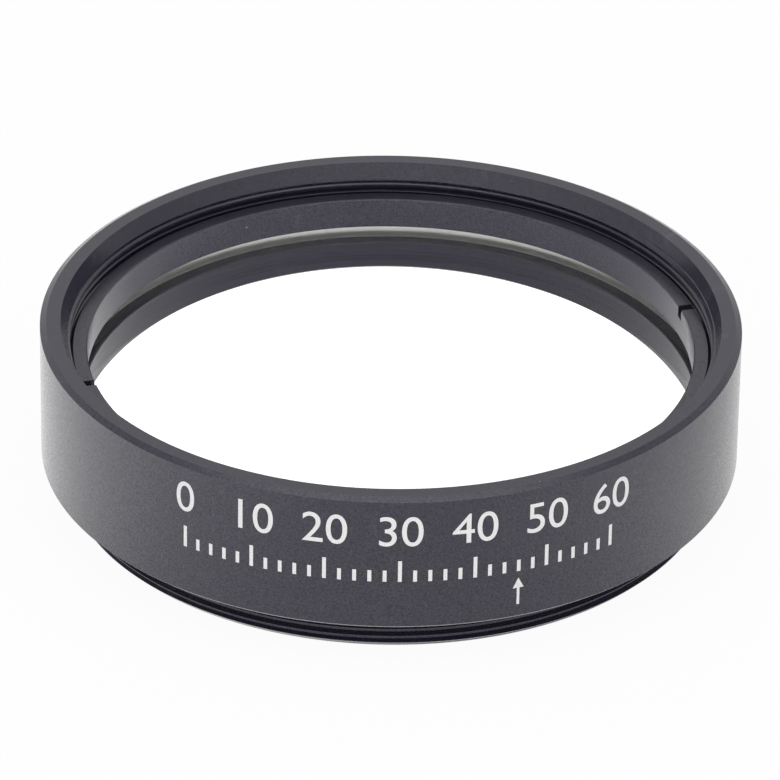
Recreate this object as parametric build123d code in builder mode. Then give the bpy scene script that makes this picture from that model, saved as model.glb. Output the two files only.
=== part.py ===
"""Mounted achromatic doublet: two cemented lens elements held in a threaded ring.

Millimetres. +Z is the optical axis, pointing out of the steeper outer face, and the origin is the
centre of the end face that the part stands on.
"""

import os
from math import sqrt

from build123d import *

os.makedirs("parts", exist_ok=True)

# Cemented lens: a biconvex crown element on a meniscus flint element
lens_r = 25.4
front_radius = 161.5
cement_radius = 134.0
rear_radius = 580.8
crown_edge = 1.56
flint_thickness = 2.0
lens_bevel = 0.15
cement_film = 0.01

# What the lens needs around it in the mount
lens_clearance = 0.05
contact_gap = 0.01
seat_width = 1.27
seat_web = 0.925

# Fine thread, the same size at both ends of the mount
thread_pitch = 0.635
thread_step = 0.05
thread_clearance = 0.03

# Outside of the mount
mount_wall = 2.1
thread_length = 3.175
thread_chamfer = 0.55
rim_bevel_width = 0.5
rim_bevel_height = 0.28
foot_chamfer = 0.2
mouth_chamfer = 0.5

# Front recess of the mount
recess_depth = 2.38
lead_in_width = 0.8
lead_in_depth = 1.66
thread_run_out = 0.7

# Retaining ring and its spanner slots
ring_thickness = 2.54
ring_overlap = 1.21
ring_outer_chamfer = 0.5
ring_inner_chamfer = 0.1
slot_width = 0.78
slot_depth = 0.95
slot_angle = 16

# Height of a 60 degree thread, from its root to the flats on its crests, for each unit of pitch
height_share = 0.54127


def sag(radius, height):
    """How far a sphere has fallen away from its pole at this height from the axis."""
    return radius - sqrt(radius**2 - height**2)


def bulging_up(radius, pole_z, mode):
    """Grind a spherical face whose pole is its highest point. The sphere's seam is turned away from it."""
    with Locations((0, 0, pole_z - radius)):
        Sphere(radius, rotation=(0, 90, 0), mode=mode)


def bulging_down(radius, pole_z, mode):
    """Grind a spherical face whose pole is its lowest point."""
    with Locations((0, 0, pole_z + radius)):
        Sphere(radius, rotation=(0, -90, 0), mode=mode)


def lens_rims(element):
    """The two sharp rims between an element's ground edge and its polished faces."""
    return element.faces().filter_by(GeomType.CYLINDER).edges().filter_by(GeomType.CIRCLE)


# Radii, from the lens outwards
aperture_r = lens_r - seat_width
ring_bore_r = lens_r - ring_overlap
lens_bore_r = lens_r + lens_clearance
thread_minor_r = lens_bore_r + thread_step
thread_major_r = thread_minor_r + height_share * thread_pitch
crest_r = thread_major_r - thread_clearance
mount_r = thread_major_r + mount_wall

# Heights, from the end face upwards
seat_z = thread_length + seat_web
rear_pole_z = seat_z + contact_gap - sag(rear_radius, aperture_r)
flint_pole_z = rear_pole_z + flint_thickness
crown_pole_z = flint_pole_z + cement_film
front_pole_z = crown_pole_z + sag(cement_radius, lens_r) + crown_edge + sag(front_radius, lens_r)
ring_foot_z = front_pole_z - sag(front_radius, ring_bore_r) + contact_gap
ring_top_z = ring_foot_z + ring_thickness
mount_height = ring_top_z + recess_depth

# Threaded mount: one turned piece, with a seat for the lens and a thread at each end.
# The female thread is drawn at its crests where it is free, and at its roots around the ring.
with BuildPart() as threaded_mount:
    with BuildSketch(Plane.XZ):
        with BuildLine():
            Polyline(
                (aperture_r, 0),
                (crest_r, 0),
                (crest_r, thread_length),
                (mount_r, thread_length),
                (mount_r, mount_height - rim_bevel_height),
                (mount_r - rim_bevel_width, mount_height),
                (thread_minor_r + lead_in_width, mount_height),
                (thread_minor_r, mount_height - lead_in_depth),
                (thread_minor_r, ring_top_z),
                (thread_major_r, ring_top_z),
                (thread_major_r, ring_foot_z - thread_run_out),
                (lens_bore_r, ring_foot_z - thread_run_out),
                (lens_bore_r, seat_z),
                (aperture_r, seat_z),
                close=True,
            )
        make_face()
    revolve(axis=Axis.Z)

    circles = threaded_mount.edges().filter_by(GeomType.CIRCLE)
    foot = circles.group_by(SortBy.RADIUS)[-1].sort_by(Axis.Z)[0]
    rear_mouth, thread_start = circles.group_by(Axis.Z)[0].sort_by(SortBy.RADIUS)
    chamfer(foot, foot_chamfer)
    chamfer(rear_mouth, mouth_chamfer)
    chamfer(thread_start, thread_chamfer)

# Crown element: biconvex, its steep front face up and its cemented face down
with BuildPart() as crown_element:
    with Locations((0, 0, crown_pole_z)):
        Cylinder(lens_r, front_pole_z - crown_pole_z, align=(Align.CENTER, Align.CENTER, Align.MIN))
    bulging_up(front_radius, front_pole_z, Mode.INTERSECT)
    bulging_down(cement_radius, crown_pole_z, Mode.INTERSECT)
    chamfer(lens_rims(crown_element), lens_bevel)

# Flint element: a thin meniscus with a deep edge, hollow above to take the crown
with BuildPart() as flint_element:
    with Locations((0, 0, rear_pole_z)):
        Cylinder(lens_r, front_pole_z - rear_pole_z, align=(Align.CENTER, Align.CENTER, Align.MIN))
    bulging_down(rear_radius, rear_pole_z, Mode.INTERSECT)
    bulging_down(cement_radius, flint_pole_z, Mode.SUBTRACT)
    chamfer(lens_rims(flint_element), lens_bevel)

# Retaining ring: screwed down until its lower inner rim bears on the front face
with BuildPart() as retaining_ring:
    with BuildSketch(Plane.XY.offset(ring_foot_z)):
        Circle(crest_r)
        Circle(ring_bore_r, mode=Mode.SUBTRACT)
    extrude(amount=ring_thickness)
    bore_rim, outer_rim = retaining_ring.faces().sort_by(Axis.Z)[-1].edges().sort_by(SortBy.RADIUS)
    chamfer(bore_rim, ring_inner_chamfer)
    chamfer(outer_rim, ring_outer_chamfer)

    # Spanner slots: one saw cut straight across the ring's top
    with BuildSketch(Plane.XY.offset(ring_top_z)):
        Rectangle(2 * mount_r, slot_width, rotation=slot_angle)
    extrude(amount=-slot_depth, mode=Mode.SUBTRACT)

threaded_mount.part.label = "threaded_mount"
export_step(threaded_mount.part, "parts/threaded_mount.step")

crown_element.part.label = "crown_element"
export_step(crown_element.part, "parts/crown_element.step")

flint_element.part.label = "flint_element"
export_step(flint_element.part, "parts/flint_element.step")

retaining_ring.part.label = "retaining_ring"
export_step(retaining_ring.part, "parts/retaining_ring.step")

print(f"mount: {2 * mount_r:.2f} mm across, {mount_height:.2f} mm tall, thread {2 * thread_major_r:.2f} mm")
print(f"lens: centre {front_pole_z - rear_pole_z:.2f} mm, seat {seat_z:.2f}, ring top {ring_top_z:.2f}")
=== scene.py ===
"""The look of a mounted achromatic doublet: black anodised ring, retaining ring and cemented glass."""

from math import ceil, cos, hypot, pi, radians, sin, sqrt

import bmesh
import bpy
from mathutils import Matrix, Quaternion, Vector


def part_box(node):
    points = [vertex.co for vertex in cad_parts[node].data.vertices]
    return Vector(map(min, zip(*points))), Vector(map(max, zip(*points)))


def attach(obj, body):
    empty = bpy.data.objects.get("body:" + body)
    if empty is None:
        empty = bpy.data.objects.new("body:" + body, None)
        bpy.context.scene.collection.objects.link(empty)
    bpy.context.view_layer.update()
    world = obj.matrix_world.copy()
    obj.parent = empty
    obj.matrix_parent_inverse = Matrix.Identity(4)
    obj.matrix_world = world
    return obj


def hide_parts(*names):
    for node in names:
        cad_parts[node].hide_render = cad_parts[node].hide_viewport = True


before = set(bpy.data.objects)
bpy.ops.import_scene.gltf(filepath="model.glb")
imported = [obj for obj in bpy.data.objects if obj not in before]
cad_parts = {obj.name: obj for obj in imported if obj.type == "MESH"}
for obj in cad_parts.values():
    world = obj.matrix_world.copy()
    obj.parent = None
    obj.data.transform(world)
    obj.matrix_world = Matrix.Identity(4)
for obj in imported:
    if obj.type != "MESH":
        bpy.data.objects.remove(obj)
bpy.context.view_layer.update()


# The threaded mount is one piece of aluminium, turned on a lathe and anodised black. It has a fine
# right-handed thread at each end: a male one that the part stands on, cut right up to the shoulder,
# and a female one in the front recess, which starts on a wide lead-in cone.

mm = 0.001
mount_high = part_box("threaded_mount")[1]
ring_low, ring_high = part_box("retaining_ring")
mount_r = mount_high.x
mount_top = mount_high.z
columns = 320

thread_pitch = 0.635 * mm
height_share = 0.5413
thread_depth = height_share * thread_pitch
thread_clearance = 0.03 * mm
crest_r = ring_high.x
thread_major_r = crest_r + thread_clearance
thread_minor_r = thread_major_r - thread_depth
crest_flat = 0.25
bored_off = 0.05 * mm
bored_flat = crest_flat + bored_off * 2 / sqrt(3) / thread_pitch
rows_in_turn = 16

shoulder_z = 3.175 * mm
thread_root_r = crest_r - thread_depth
thread_end_r = crest_r - 0.55 * mm
aperture_r = 24.13 * mm
mouth_chamfer = 0.5 * mm
seat_web = 0.925 * mm
seat_z = shoulder_z + seat_web
lens_bore_r = 25.45 * mm
thread_run_out = 0.7 * mm
female_foot_z = ring_low.z - thread_run_out
female_helix_z = female_foot_z - 0.45 * mm
lead_in_r = thread_minor_r + 0.8 * mm
lead_in_slope = 0.8 / 1.66
rim_bevel_width = 0.5 * mm
rim_bevel_height = 0.28 * mm
foot_chamfer = 0.2 * mm
seat_chamfer = 0.15 * mm


class Value:
    """An output of a node. Arithmetic on it adds the Math nodes to its tree."""

    def __init__(self, tree, socket):
        self.tree = tree
        self.socket = socket

    def math(self, operation, *others):
        return self.tree.add("ShaderNodeMath", {"operation": operation}, enumerate((self, *others)))

    def __add__(self, other):
        return self.math("ADD", other)

    def __sub__(self, other):
        return self.math("SUBTRACT", other)

    def __mul__(self, other):
        return self.math("MULTIPLY", other)

    def __truediv__(self, other):
        return self.math("DIVIDE", other)

    def __rsub__(self, other):
        return self.tree.add("ShaderNodeMath", {"operation": "SUBTRACT"}, {0: other, 1: self})

    __radd__ = __add__
    __rmul__ = __mul__

    def __abs__(self):
        return self.math("ABSOLUTE")

    def least(self, other):
        return self.math("MINIMUM", other)

    def most(self, other):
        return self.math("MAXIMUM", other)

    def clamped(self):
        return self.most(0.0).least(1.0)

    def above(self, limit, blur):
        """0 below the limit and 1 above it, with a soft step as wide as blur."""
        return ((self - limit) / blur + 0.5).clamped()


class Tree:
    """A node tree, of a material or of geometry, and the one way that nodes are added to it."""

    def __init__(self, nodes):
        self.nodes = nodes

    def add(self, kind, settings=(), inputs=(), out=0):
        node = self.nodes.nodes.new(kind)
        for name, value in dict(settings).items():
            setattr(node, name, value)
        for name, value in dict(inputs).items():
            if isinstance(value, Value):
                self.nodes.links.new(value.socket, node.inputs[name])
            else:
                node.inputs[name].default_value = value
        return Value(self, node.outputs[out]) if node.outputs else node


def new_material(name):
    """A material with a bare Principled shader, and the tree to add to."""
    material = bpy.data.materials.new(name)
    material.use_nodes = True
    return material, Tree(material.node_tree), material.node_tree.nodes["Principled BSDF"]


def geometry_tree(name, sizes):
    """An empty Geometry Nodes tree with these named number inputs, and its inputs as values."""
    nodes = bpy.data.node_groups.new(name, "GeometryNodeTree")
    for size, kind in sizes.items():
        nodes.interface.new_socket(size, in_out="INPUT", socket_type=kind)
    nodes.interface.new_socket("Geometry", in_out="OUTPUT", socket_type="NodeSocketGeometry")
    tree = Tree(nodes)
    group = nodes.nodes.new("NodeGroupInput")
    return tree, {size: Value(tree, group.outputs[size]) for size in sizes}


def finish_tree(tree, geometry, material):
    """End a geometry tree in real faces of one material."""
    real = tree.add("GeometryNodeRealizeInstances", {}, {"Geometry": geometry})
    painted = tree.add("GeometryNodeSetMaterial", {}, {"Geometry": real, "Material": material})
    tree.add("NodeGroupOutput", {}, {0: painted})


def made_by(tree, values):
    """The plain mesh that a geometry tree gives with these values."""
    blank = bpy.data.objects.new("blank", bpy.data.meshes.new("blank"))
    bpy.context.scene.collection.objects.link(blank)
    modifier = blank.modifiers.new("maker", "NODES")
    modifier.node_group = tree.nodes
    sockets = {item.name: item.identifier for item in tree.nodes.interface.items_tree}
    for name, value in values.items():
        modifier[sockets[name]] = value
    graph = bpy.context.evaluated_depsgraph_get()
    mesh = bpy.data.meshes.new_from_object(blank.evaluated_get(graph))
    bpy.data.objects.remove(blank)
    return mesh


def thread_tree(material):
    """A wall with a right-handed 60 degree thread. Its rows of points follow the helix."""
    tree, size = geometry_tree("thread", {
        "Columns": "NodeSocketInt",
        "Rows": "NodeSocketInt",
        "Rows in a turn": "NodeSocketInt",
        "Helix start": "NodeSocketFloat",
        "Foot": "NodeSocketFloat",
        "Top": "NodeSocketFloat",
        "Pitch": "NodeSocketFloat",
        "Minor radius": "NodeSocketFloat",
        "Minor flat": "NodeSocketFloat",
        "Depth": "NodeSocketFloat",
        "Foot radius": "NodeSocketFloat",
        "Foot slope": "NodeSocketFloat",
        "Top radius": "NodeSocketFloat",
        "Top slope": "NodeSocketFloat",
        "Side": "NodeSocketFloat",
    })
    grid = tree.add("GeometryNodeMeshGrid", {}, {
        "Size X": 1.0, "Size Y": 1.0, "Vertices X": size["Columns"] + 1, "Vertices Y": size["Rows"] + 1})
    place = tree.add("GeometryNodeInputPosition")
    across = tree.add("ShaderNodeSeparateXYZ", {}, {0: place}, out="X") + 0.5
    along = tree.add("ShaderNodeSeparateXYZ", {}, {0: place}, out="Y") + 0.5

    turns = along * size["Rows"] / size["Rows in a turn"]
    height = size["Helix start"] + (turns - 1.0 + across) * size["Pitch"]
    height = height.most(size["Foot"]).least(size["Top"])

    # From the middle of the flat at the minor radius, 0, to the middle of the one at the major radius, 1
    major_flat = 0.125
    swing = abs(turns.math("FRACT") - 0.5) * 2.0
    depth = ((swing - size["Minor flat"]) / (1.0 - major_flat - size["Minor flat"])).clamped()
    side = size["Side"]
    wall = side * (size["Minor radius"] + size["Depth"] * depth)
    foot_cone = side * size["Foot radius"] + (height - size["Foot"]) * size["Foot slope"]
    top_cone = side * size["Top radius"] + (size["Top"] - height) * size["Top slope"]
    radius = side * wall.least(foot_cone).least(top_cone)

    angle = across * (2 * pi)
    point = tree.add("ShaderNodeCombineXYZ", {}, {
        0: radius * angle.math("COSINE"), 1: radius * angle.math("SINE"), 2: height})
    bent = tree.add("GeometryNodeSetPosition", {}, {"Geometry": grid, "Position": point})
    merged = tree.add("GeometryNodeMergeByDistance", {}, {"Geometry": bent, "Distance": 0.002 * mm})
    finish_tree(tree, merged, material)
    return tree


def threaded_wall(tree, foot, top, minor, major_r, ends, slopes, side, helix_start):
    """One threaded stretch. minor is the radius and flat there, and ends are its radii at foot and top."""
    rows = ceil(((top - helix_start) / thread_pitch + 1) * rows_in_turn)
    return made_by(tree, {
        "Columns": columns,
        "Rows": rows,
        "Rows in a turn": rows_in_turn,
        "Helix start": helix_start,
        "Foot": foot,
        "Top": top,
        "Pitch": thread_pitch,
        "Minor radius": minor[0],
        "Minor flat": minor[1],
        "Depth": major_r - minor[0],
        "Foot radius": ends[0],
        "Foot slope": slopes[0],
        "Top radius": ends[1],
        "Top slope": slopes[1],
        "Side": side,
    })


def turned(shape, section):
    """Add to a bmesh the wall that a section of (radius, height) points sweeps round the axis."""
    rings = []
    for radius, height in section:
        angles = [2 * pi * i / columns for i in range(columns)]
        rings.append([shape.verts.new((radius * cos(a), radius * sin(a), height)) for a in angles])
    for lower, upper in zip(rings, rings[1:]):
        for i in range(columns):
            j = (i + 1) % columns
            shape.faces.new((lower[i], lower[j], upper[j], upper[i]))


def closed_piece(name, shape, material, sharp=28, seam=0.002 * mm):
    """Close a bmesh's seams, turn its faces outwards and make it an object on the part's body."""
    bmesh.ops.remove_doubles(shape, verts=shape.verts, dist=seam)
    bmesh.ops.dissolve_degenerate(shape, edges=shape.edges, dist=seam / 4)
    bmesh.ops.recalc_face_normals(shape, faces=shape.faces)
    mesh = bpy.data.meshes.new(name)
    shape.to_mesh(mesh)
    shape.free()
    mesh.materials.clear()
    mesh.materials.append(material)
    mesh.shade_smooth()
    mesh.set_sharp_from_angle(angle=radians(sharp))
    piece = bpy.data.objects.new(name, mesh)
    bpy.context.scene.collection.objects.link(piece)
    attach(piece, "root")
    return piece


def anodised(name, colour, film, bore_r, thread_r):
    """Black anodised aluminium: satin, finely etched metal under a clear film. Bore and thread are duller.
    Inside the bore the colour holds painted light.
    """
    material, tree, shader = new_material(name)
    place = tree.add("ShaderNodeTexCoord", {}, out="Object")
    x, y, z = (tree.add("ShaderNodeSeparateXYZ", {}, {0: place}, out=axis) for axis in "XYZ")
    from_axis = (x * x + y * y).math("SQRT")

    # Tool marks run round the axis. The etch before the dye leaves a grain, and the dye is a little cloudy
    across_rings = tree.add("ShaderNodeCombineXYZ", {}, {0: from_axis * 9000.0, 1: 0.0, 2: z * 9000.0})
    rings = tree.add("ShaderNodeTexNoise", {}, {
        "Vector": across_rings, "Scale": 1.0, "Detail": 3.0, "Roughness": 0.6})
    grain = tree.add("ShaderNodeTexNoise", {}, {"Vector": place, "Scale": 7000.0, "Detail": 1.0})
    cloud = tree.add("ShaderNodeTexNoise", {}, {"Vector": place, "Scale": 160.0, "Detail": 4.0})

    # Fingers have left a few paler streaks, and dust lies here and there
    upright = tree.add("ShaderNodeVectorMath", {"operation": "MULTIPLY"}, {0: place, 1: (1.0, 1.0, 0.35)})
    smear = tree.add("ShaderNodeTexNoise", {}, {
        "Vector": upright, "Scale": 420.0, "Detail": 2.0, "Distortion": 1.5})
    smear = smear.above(0.66, 0.12) * cloud.above(0.55, 0.1)
    cells = {"Vector": place, "Scale": 420.0, "Randomness": 1.0}
    mote = tree.add("ShaderNodeTexVoronoi", {}, cells)
    rare = tree.add("ShaderNodeTexVoronoi", {}, cells, out="Color")
    rare = tree.add("ShaderNodeSeparateXYZ", {}, {0: rare}, out="X")
    dust = (1.0 - mote.above(0.028, 0.02)) * rare.above(0.86, 0.02)

    edge = 0.04 * mm
    in_bore = 1.0 - from_axis.above(bore_r + 1.5 * edge, edge)
    in_thread = from_axis.above(thread_r, edge)
    # Inside the bore the colour is painted 2.4 times paler. This is painted light that brightens the bore
    # wall, not a paler dye.
    shade = (1.8 * grain - 0.05 + 0.3 * cloud).most(0.1) * (1.0 + in_bore * 1.4)
    dye_and_bore_light = tree.add("ShaderNodeVectorMath", {"operation": "SCALE"}, {0: colour, "Scale": shade})
    dusty = tree.add("ShaderNodeMix", {"data_type": "RGBA"}, {
        0: (dust * 0.6 + smear * 0.03).clamped(), 6: dye_and_bore_light, 7: (0.55, 0.54, 0.55, 1)}, out=2)
    tree.nodes.links.new(dusty.socket, shader.inputs["Base Color"])
    rough = 0.42 + (cloud - 0.5) * 0.10 + (grain - 0.5) * 0.3 + in_thread * 0.3
    tree.nodes.links.new(rough.socket, shader.inputs["Roughness"])
    bump = tree.add("ShaderNodeBump", {}, {
        "Strength": 0.5, "Distance": 0.012 * mm, "Height": rings * 0.25 + grain}, out="Normal")
    tree.nodes.links.new(bump.socket, shader.inputs["Normal"])
    coat = film * (1.9 * grain).least(1.6) * (1.0 - dust * 0.8)
    coat = coat * (1.0 - in_bore * 0.5) * (1.0 - in_thread * 0.95)
    tree.nodes.links.new(coat.socket, shader.inputs["Coat Weight"])
    shader.inputs["Coat Roughness"].default_value = 0.15
    shader.inputs["Specular IOR Level"].default_value = 0.4
    shader.inputs["Specular Tint"].default_value = (0.86, 0.84, 1.0, 1)
    return material


mount_black = anodised("black_anodised", (0.010, 0.0085, 0.022), 1.0, aperture_r, 2 * mount_r)
threads = thread_tree(mount_black)

mount_shape = bmesh.new()
turned(mount_shape, [
    (thread_end_r, 0),
    (aperture_r + mouth_chamfer, 0),
    (aperture_r, mouth_chamfer),
    (aperture_r, seat_z - seat_chamfer),
    (aperture_r + seat_chamfer, seat_z),
    (lens_bore_r, seat_z),
    (lens_bore_r, female_foot_z),
    (thread_major_r, female_foot_z),
])
turned(mount_shape, [
    (lead_in_r, mount_top),
    (mount_r - rim_bevel_width, mount_top),
    (mount_r, mount_top - rim_bevel_height),
    (mount_r, shoulder_z + foot_chamfer),
    (mount_r - foot_chamfer, shoulder_z),
    (thread_root_r, shoulder_z),
])
mount_shape.from_mesh(threaded_wall(
    threads, female_foot_z, mount_top, (thread_minor_r + bored_off, bored_flat), thread_major_r,
    (thread_major_r, lead_in_r), (1.0, lead_in_slope), -1.0, female_helix_z))
mount_shape.from_mesh(threaded_wall(
    threads, 0, shoulder_z, (thread_root_r, crest_flat), crest_r,
    (thread_end_r, thread_root_r), (1.0, 1.0), 1.0, 0))
mount = closed_piece("threaded_mount_ring", mount_shape, mount_black)
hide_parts("threaded_mount")


# The retaining ring is a second turned and anodised ring. It is screwed down on the lens with a flat
# two-pinned spanner, for which one saw cut runs straight across its top.

ring_bore_r = 24.19 * mm
ring_bore_chamfer = 0.1 * mm
ring_rim_chamfer = 0.5 * mm
slot_width = 0.78 * mm
slot_depth = 0.95 * mm
slot_angle = radians(16)

ring_black = anodised(
    "black_anodised_ring", (0.026, 0.0245, 0.035), 0.75, ring_bore_r, crest_r - ring_rim_chamfer)
ring_shape = bmesh.new()
turned(ring_shape, [
    (crest_r - ring_rim_chamfer, ring_high.z),
    (ring_bore_r + ring_bore_chamfer, ring_high.z),
    (ring_bore_r, ring_high.z - ring_bore_chamfer),
    (ring_bore_r, ring_low.z),
    (thread_root_r, ring_low.z),
])
ring_shape.from_mesh(threaded_wall(
    threads, ring_low.z, ring_high.z, (thread_root_r, crest_flat), crest_r,
    (thread_root_r, crest_r - ring_rim_chamfer), (1.0, 0.5), 1.0, female_helix_z))
ring = closed_piece("retaining_ring_slotted", ring_shape, ring_black)

saw_shape = bmesh.new()
bmesh.ops.create_cube(saw_shape, size=1.0)
bmesh.ops.scale(saw_shape, vec=(3 * crest_r, slot_width, 2 * slot_depth), verts=saw_shape.verts)
bmesh.ops.rotate(saw_shape, matrix=Quaternion((0, 0, 1), slot_angle).to_matrix(), verts=saw_shape.verts)
bmesh.ops.translate(saw_shape, vec=(0, 0, ring_high.z), verts=saw_shape.verts)
saw = closed_piece("saw", saw_shape, ring_black)
cut = ring.modifiers.new("spanner slots", "BOOLEAN")
cut.operation = "DIFFERENCE"
cut.object = saw
cut.solver = "EXACT"
slotted = bpy.data.meshes.new_from_object(ring.evaluated_get(bpy.context.evaluated_depsgraph_get()))
ring.modifiers.remove(cut)
bpy.data.objects.remove(saw)
ring.data = slotted
ring.data.set_sharp_from_angle(angle=radians(28))
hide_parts("retaining_ring")


# A plain scale is printed round the front of the wall in white ink, which is then baked on: ticks, with
# a number over each long one, and under them an arrow that points out of the steeper lens face.

ink_depth = 0.02 * mm
scale_start = radians(236)
division = radians(2.4)
divisions = 30
divisions_in_number = 5
tick_foot = 7.4 * mm
number_foot = 10.6 * mm
arrow_foot = 4.4 * mm
arrow_angle = radians(291.2)


def tick_tree(material):
    """A row of upright ticks round the wall, each a thin bar, with a longer one at every number."""
    tree, size = geometry_tree("ticks", {
        "Ticks": "NodeSocketInt",
        "Ticks in a number": "NodeSocketInt",
        "Radius": "NodeSocketFloat",
        "First angle": "NodeSocketFloat",
        "Step": "NodeSocketFloat",
        "Foot": "NodeSocketFloat",
        "Short": "NodeSocketFloat",
        "Long": "NodeSocketFloat",
        "Width": "NodeSocketFloat",
        "Depth": "NodeSocketFloat",
    })
    index = tree.add("GeometryNodeInputIndex")
    angle = size["First angle"] + index * size["Step"]
    at_number = 1.0 - index.math("MODULO", size["Ticks in a number"]).least(1.0)
    length = size["Short"] + (size["Long"] - size["Short"]) * at_number
    middle = tree.add("ShaderNodeCombineXYZ", {}, {
        0: size["Radius"] * angle.math("COSINE"),
        1: size["Radius"] * angle.math("SINE"),
        2: size["Foot"] + length * 0.5})
    points = tree.add("GeometryNodePoints", {}, {"Count": size["Ticks"], "Position": middle})
    bar = tree.add("GeometryNodeMeshCube", {}, {"Size": tree.add("ShaderNodeCombineXYZ", {}, {
        0: size["Depth"], 1: size["Width"], 2: 1.0})})
    turn = tree.add("FunctionNodeEulerToRotation", {}, {
        0: tree.add("ShaderNodeCombineXYZ", {}, {2: angle})})
    tall = tree.add("ShaderNodeCombineXYZ", {}, {0: 1.0, 1: 1.0, 2: length})
    bars = tree.add("GeometryNodeInstanceOnPoints", {}, {
        "Points": points, "Instance": bar, "Rotation": turn, "Scale": tall})
    finish_tree(tree, bars, material)
    return tree


def printed(shape, outline, angle, foot):
    """Add a flat figure to a bmesh, as a thin closed solid, sliced upright and wrapped round the wall."""
    outline.extrude = ink_depth / 2
    flat = bpy.data.objects.new("flat", outline)
    bpy.context.scene.collection.objects.link(flat)
    mesh = bpy.data.meshes.new_from_object(flat.evaluated_get(bpy.context.evaluated_depsgraph_get()))
    bpy.data.objects.remove(flat)
    sheet = bmesh.new()
    sheet.from_mesh(mesh)
    bmesh.ops.remove_doubles(sheet, verts=sheet.verts, dist=0.0005 * mm)
    for cut in range(-7, 7):
        whole = sheet.verts[:] + sheet.edges[:] + sheet.faces[:]
        aside = (cut + 0.47) * 0.4 * mm
        bmesh.ops.bisect_plane(sheet, geom=whole, plane_co=(aside, 0, 0), plane_no=(1, 0, 0))
    for point in sheet.verts:
        around = angle + point.co.x / mount_r
        out = mount_r + point.co.z
        point.co = (out * cos(around), out * sin(around), foot + point.co.y)
    sheet.to_mesh(mesh)
    sheet.free()
    shape.from_mesh(mesh)


ink_white, ink_tree, ink_shader = new_material("white_ink")
ink_place = ink_tree.add("ShaderNodeTexCoord", {}, out="Object")
ink_grain = ink_tree.add("ShaderNodeTexNoise", {}, {"Vector": ink_place, "Scale": 5000.0, "Detail": 3.0})
ink_shade = ink_tree.add("ShaderNodeVectorMath", {"operation": "SCALE"}, {
    0: (0.93, 0.93, 0.93), "Scale": 0.94 + 0.08 * ink_grain})
ink_tree.nodes.links.new(ink_shade.socket, ink_shader.inputs["Base Color"])
ink_tree.nodes.links.new((0.45 + 0.2 * ink_grain).socket, ink_shader.inputs["Roughness"])

scale_shape = bmesh.new()
scale_shape.from_mesh(made_by(tick_tree(ink_white), {
    "Ticks": divisions + 1,
    "Ticks in a number": divisions_in_number,
    "Radius": mount_r,
    "First angle": scale_start,
    "Step": division,
    "Foot": tick_foot,
    "Short": 1.0 * mm,
    "Long": 1.85 * mm,
    "Width": 0.3 * mm,
    "Depth": ink_depth,
}))
for tick in range(0, divisions + 1, divisions_in_number):
    number = bpy.data.curves.new("number", "FONT")
    number.body = str(2 * tick)
    number.size = 3.75 * mm
    number.align_x = "CENTER"
    printed(scale_shape, number, scale_start + tick * division, number_foot)

arrow = bpy.data.curves.new("arrow", "CURVE")
arrow.dimensions = "2D"
arrow.fill_mode = "BOTH"
corners = [(-0.11, 0), (0.11, 0), (0.11, 1.5), (0.45, 1.5), (0, 2.4), (-0.45, 1.5), (-0.11, 1.5)]
line = arrow.splines.new("POLY")
line.points.add(len(corners) - 1)
for point, (across, up) in zip(line.points, corners):
    point.co = (across * mm, up * mm, 0, 1)
line.use_cyclic_u = True
printed(scale_shape, arrow, arrow_angle, arrow_foot)

scale = closed_piece("printed_scale", scale_shape, ink_white, seam=0.0001 * mm)


# The doublet is two elements of clear glass, ground to spheres and polished, cemented face to face.
# The outer faces are coated against reflections. The edges are fine-ground, which leaves them grey.

crown_low, crown_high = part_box("crown_element")
lens_r = crown_high.x
flint_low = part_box("flint_element")[0]
front_radius = 161.5 * mm
cement_radius = 134.0 * mm
rear_radius = 580.8 * mm
lens_bevel = 0.15 * mm
crown_index = 1.517
flint_index = 1.673
cement_film = 0.01 * mm
flint_pole_z = crown_low.z - cement_film


def sag(radius, height):
    """How far a sphere has fallen away from its pole at this height from the axis."""
    return radius - sqrt(radius**2 - height**2)


def face(radius, pole_z, side, edge_r=lens_r - lens_bevel, steps=24):
    """Section of a spherical face from the axis to its bevel. side is 1 where it rises outwards."""
    heights = [edge_r * i / steps for i in range(steps + 1)]
    return [(h, pole_z + side * sag(radius, h)) for h in heights]


def glass(name, index, tint, coating):
    """Clear polished glass. coating is how much of a bare surface's reflection is left."""
    material, tree, shader = new_material(name)
    shader.inputs["Base Color"].default_value = (*tint, 1)
    shader.inputs["Transmission Weight"].default_value = 1.0
    shader.inputs["IOR"].default_value = index
    shader.inputs["Roughness"].default_value = 0.0
    shader.inputs["Specular Tint"].default_value = (*coating, 1)
    return material


def ground_edge():
    """The fine-ground edge, which is only seen through the glass, and throws light back like dull silver."""
    material, tree, shader = new_material("ground_glass_edge")
    place = tree.add("ShaderNodeTexCoord", {}, out="Object")
    grit = tree.add("ShaderNodeTexNoise", {}, {"Vector": place, "Scale": 9000.0, "Detail": 2.0})
    pale = tree.add("ShaderNodeVectorMath", {"operation": "SCALE"}, {
        0: (0.95, 0.93, 0.89), "Scale": 0.92 + 0.16 * grit})
    tree.nodes.links.new(pale.socket, shader.inputs["Base Color"])
    tree.nodes.links.new((0.30 + 0.08 * grit).socket, shader.inputs["Roughness"])
    shader.inputs["Metallic"].default_value = 0.75
    return material


def element(name, lower, upper, materials):
    """A lens element from the sections of its two faces. materials: lower face, edge, upper face."""
    shape = bmesh.new()
    edge = [(lens_r, lower[-1][1] + lens_bevel), (lens_r, upper[-1][1] - lens_bevel)]
    turned(shape, lower + edge + upper[::-1])
    piece = closed_piece(name, shape, materials[0])
    for material in materials[1:]:
        piece.data.materials.append(material)
    for polygon in piece.data.polygons:
        centre = polygon.center
        if hypot(centre.x, centre.y) > lens_r - lens_bevel:
            polygon.material_index = 1
        elif polygon.normal.z > 0:
            polygon.material_index = 2
    return piece


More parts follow.
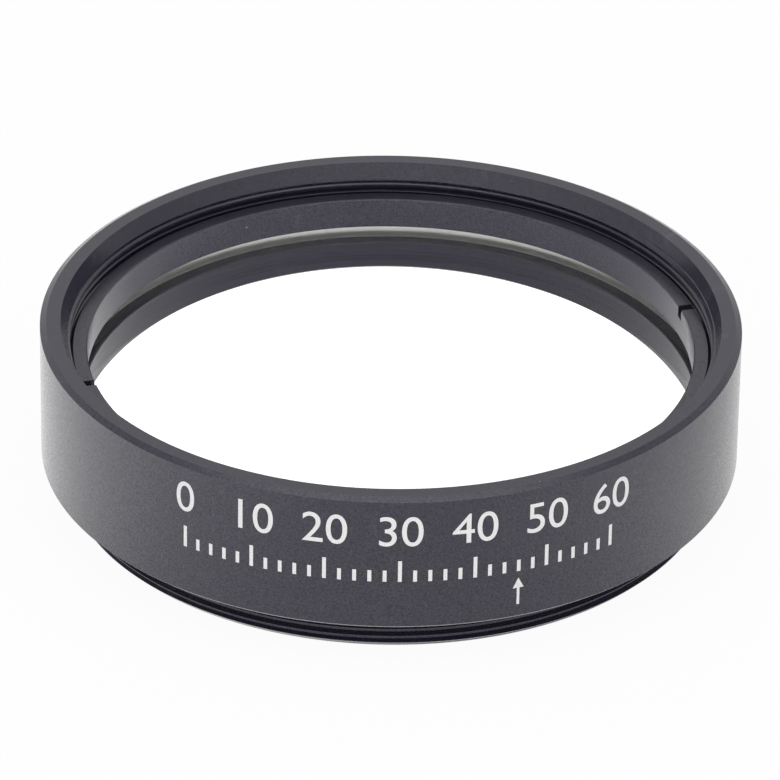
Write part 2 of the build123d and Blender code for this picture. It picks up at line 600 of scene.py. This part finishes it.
coating_left = (0.10, 0.12, 0.16)
polished_crown = glass("crown_glass", crown_index, (0.99, 0.995, 0.985), coating_left)
polished_flint = glass("flint_glass", flint_index, (0.99, 0.995, 0.98), coating_left)
ground = ground_edge()
cement = glass("clear_cement", 1.0, (1, 1, 1), (1, 1, 1))
cement_joint = glass("cemented_flint_face", flint_index / crown_index, (1, 1, 1), (1, 1, 1))

crown = element(
    "crown_glass_element",
    face(cement_radius, crown_low.z, 1),
    face(front_radius, crown_high.z, -1),
    [cement, ground, polished_crown])
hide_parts("crown_element")

flint = element(
    "flint_glass_element",
    face(rear_radius, flint_low.z, 1),
    face(cement_radius, flint_pole_z, 1),
    [polished_flint, ground, cement_joint])
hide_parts("flint_element")


# The part stands on a white table in front of a pale tent. A wide soft lamp hangs straight above, and
# a little more light comes from the front and the left than from behind. The table shows half as bright
# again through the glass, and what is mirrored of it is brighter at the left and at the front's corners.

table_half = 3.0
extra_through_glass = 0.5
extra_at_corners = 0.3
extra_at_left = 0.2


def seen(tree, camera, mirrored, through):
    """A share for rays from the camera, one for mirrored rays, and one for rays that came through glass."""
    shares = {"Is Camera Ray": camera, "Is Glossy Ray": mirrored, "Is Transmission Ray": through}
    parts = [share * tree.add("ShaderNodeLightPath", {}, out=name) for name, share in shares.items()]
    return parts[0].most(parts[1]).most(parts[2])


table_white = bpy.data.materials.new("table_white")
table_white.use_nodes = True
table_tree = Tree(table_white.node_tree)
table_white.node_tree.nodes.clear()
spot = table_tree.add("ShaderNodeTexCoord", {}, out="Object")
to_right, to_back = (table_tree.add("ShaderNodeSeparateXYZ", {}, {0: spot}, out=axis) for axis in "XY")
painted = table_tree.add("ShaderNodeBsdfDiffuse", {}, {"Color": (0.92, 0.92, 0.92, 1)})
through_glass = seen(table_tree, 0.0, 0.0, 1.0)
only_mirrored = seen(table_tree, 0.0, 1.0, 0.0) * (1.0 - through_glass)
beside = (abs(to_right) * 14.0 - 0.2).clamped().least(extra_at_corners) * (1.0 - to_back.above(0.0, 0.03))
rightwards = (to_right * 4.0).least(extra_at_left).most(-extra_at_left)
glow = 1.0 + through_glass * extra_through_glass + only_mirrored * (beside - rightwards)
glowing = table_tree.add("ShaderNodeEmission", {}, {"Color": (1, 1, 1, 1), "Strength": glow})
table_mix = table_tree.add("ShaderNodeMixShader", {}, {
    0: seen(table_tree, 0.95, 0.7, 0.985), 1: painted, 2: glowing})
table_tree.add("ShaderNodeOutputMaterial", {}, {"Surface": table_mix})

table_mesh = bpy.data.meshes.new("table")
corners = [(x * table_half, y * table_half, 0) for x, y in ((-1, -1), (1, -1), (1, 1), (-1, 1))]
table_mesh.from_pydata(corners, [], [(0, 1, 2, 3)])
table_mesh.materials.append(table_white)
table = bpy.data.objects.new("table", table_mesh)
bpy.context.scene.collection.objects.link(table)

tent = bpy.data.worlds.new("tent")
tent.use_nodes = True
bpy.context.scene.world = tent
tent_tree = Tree(tent.node_tree)
towards = tent_tree.add("ShaderNodeTexCoord", {}, out="Generated")
right, behind, above = (tent_tree.add("ShaderNodeSeparateXYZ", {}, {0: towards}, out=axis) for axis in "XYZ")
lit = 0.5 + 0.6 * (0.0 - behind).most(0.0) - 0.08 * right + 1.35 * above.above(0.9, 0.12)
white = seen(tent_tree, 1.0, 0.3, 1.0)
strength = lit * (1.0 - white) + white
tent_light = tent.node_tree.nodes["Background"]
tent_light.inputs["Color"].default_value = (1, 1, 1, 1)
tent.node_tree.links.new(strength.socket, tent_light.inputs["Strength"])

bpy.context.scene.view_settings.view_transform = "Standard"


# The camera looks down on the part from the front, from far off and with a small roll to the left.

camera_distance = 560 * mm
camera_elevation = radians(30.156)
camera_roll = radians(0.88)
aim = Vector((0, -2.79 * mm, 9.797 * mm))

camera_data = bpy.data.cameras.new("camera")
camera_data.lens = 324.6
camera_data.clip_start = 0.01
camera_data.clip_end = 10
camera = bpy.data.objects.new("camera", camera_data)
bpy.context.scene.collection.objects.link(camera)
back = Vector((0, -cos(camera_elevation), sin(camera_elevation)))
camera.location = aim + back * camera_distance
camera.rotation_mode = "QUATERNION"
level = (-back).to_track_quat("-Z", "Y")
camera.rotation_quaternion = level @ Quaternion((0, 0, 1), camera_roll)
bpy.context.scene.camera = camera
